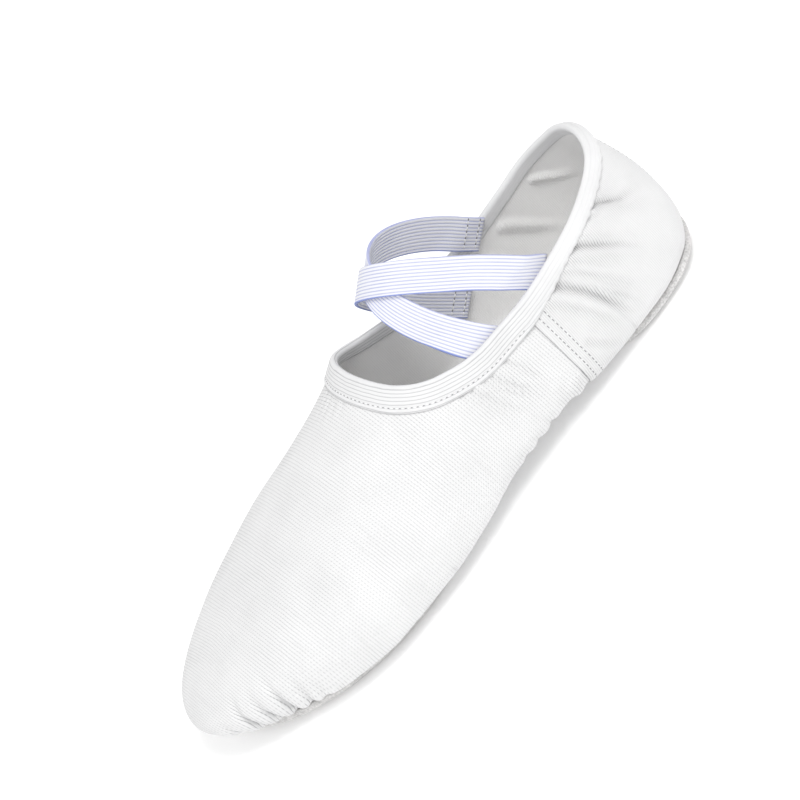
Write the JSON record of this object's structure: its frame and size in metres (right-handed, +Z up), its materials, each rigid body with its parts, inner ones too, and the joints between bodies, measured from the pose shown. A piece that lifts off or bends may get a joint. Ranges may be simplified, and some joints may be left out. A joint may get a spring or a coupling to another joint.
{
  "type": "dance practice shoe",
  "caption": "Soft white canvas split-sole dance practice shoe for the left foot, with a folded collar binding and crossed elastic instep straps.",
  "frame": {"origin": "on the floor, under the middle of the shoe's box", "axes": "+X from heel to toe, +Y to the outer side of the left foot, +Z up from the floor"},
  "size_m": [0.24, 0.0928, 0.0861],
  "materials": {
    "canvas": "matt plain weave",
    "binding_tape": "matt fine rib",
    "suede": "rough suede",
    "lining": "matt",
    "elastic": "matt lengthwise rib"
  },
  "bodies": {
    "root": {"upper": "canvas", "collar_binding": "binding_tape", "sole_forefoot": "suede", "sole_heel": "suede", "insole_forefoot": "lining", "insole_heel": "lining", "strap_over": "elastic", "strap_under": "elastic"}
  },
  "joints": []
}
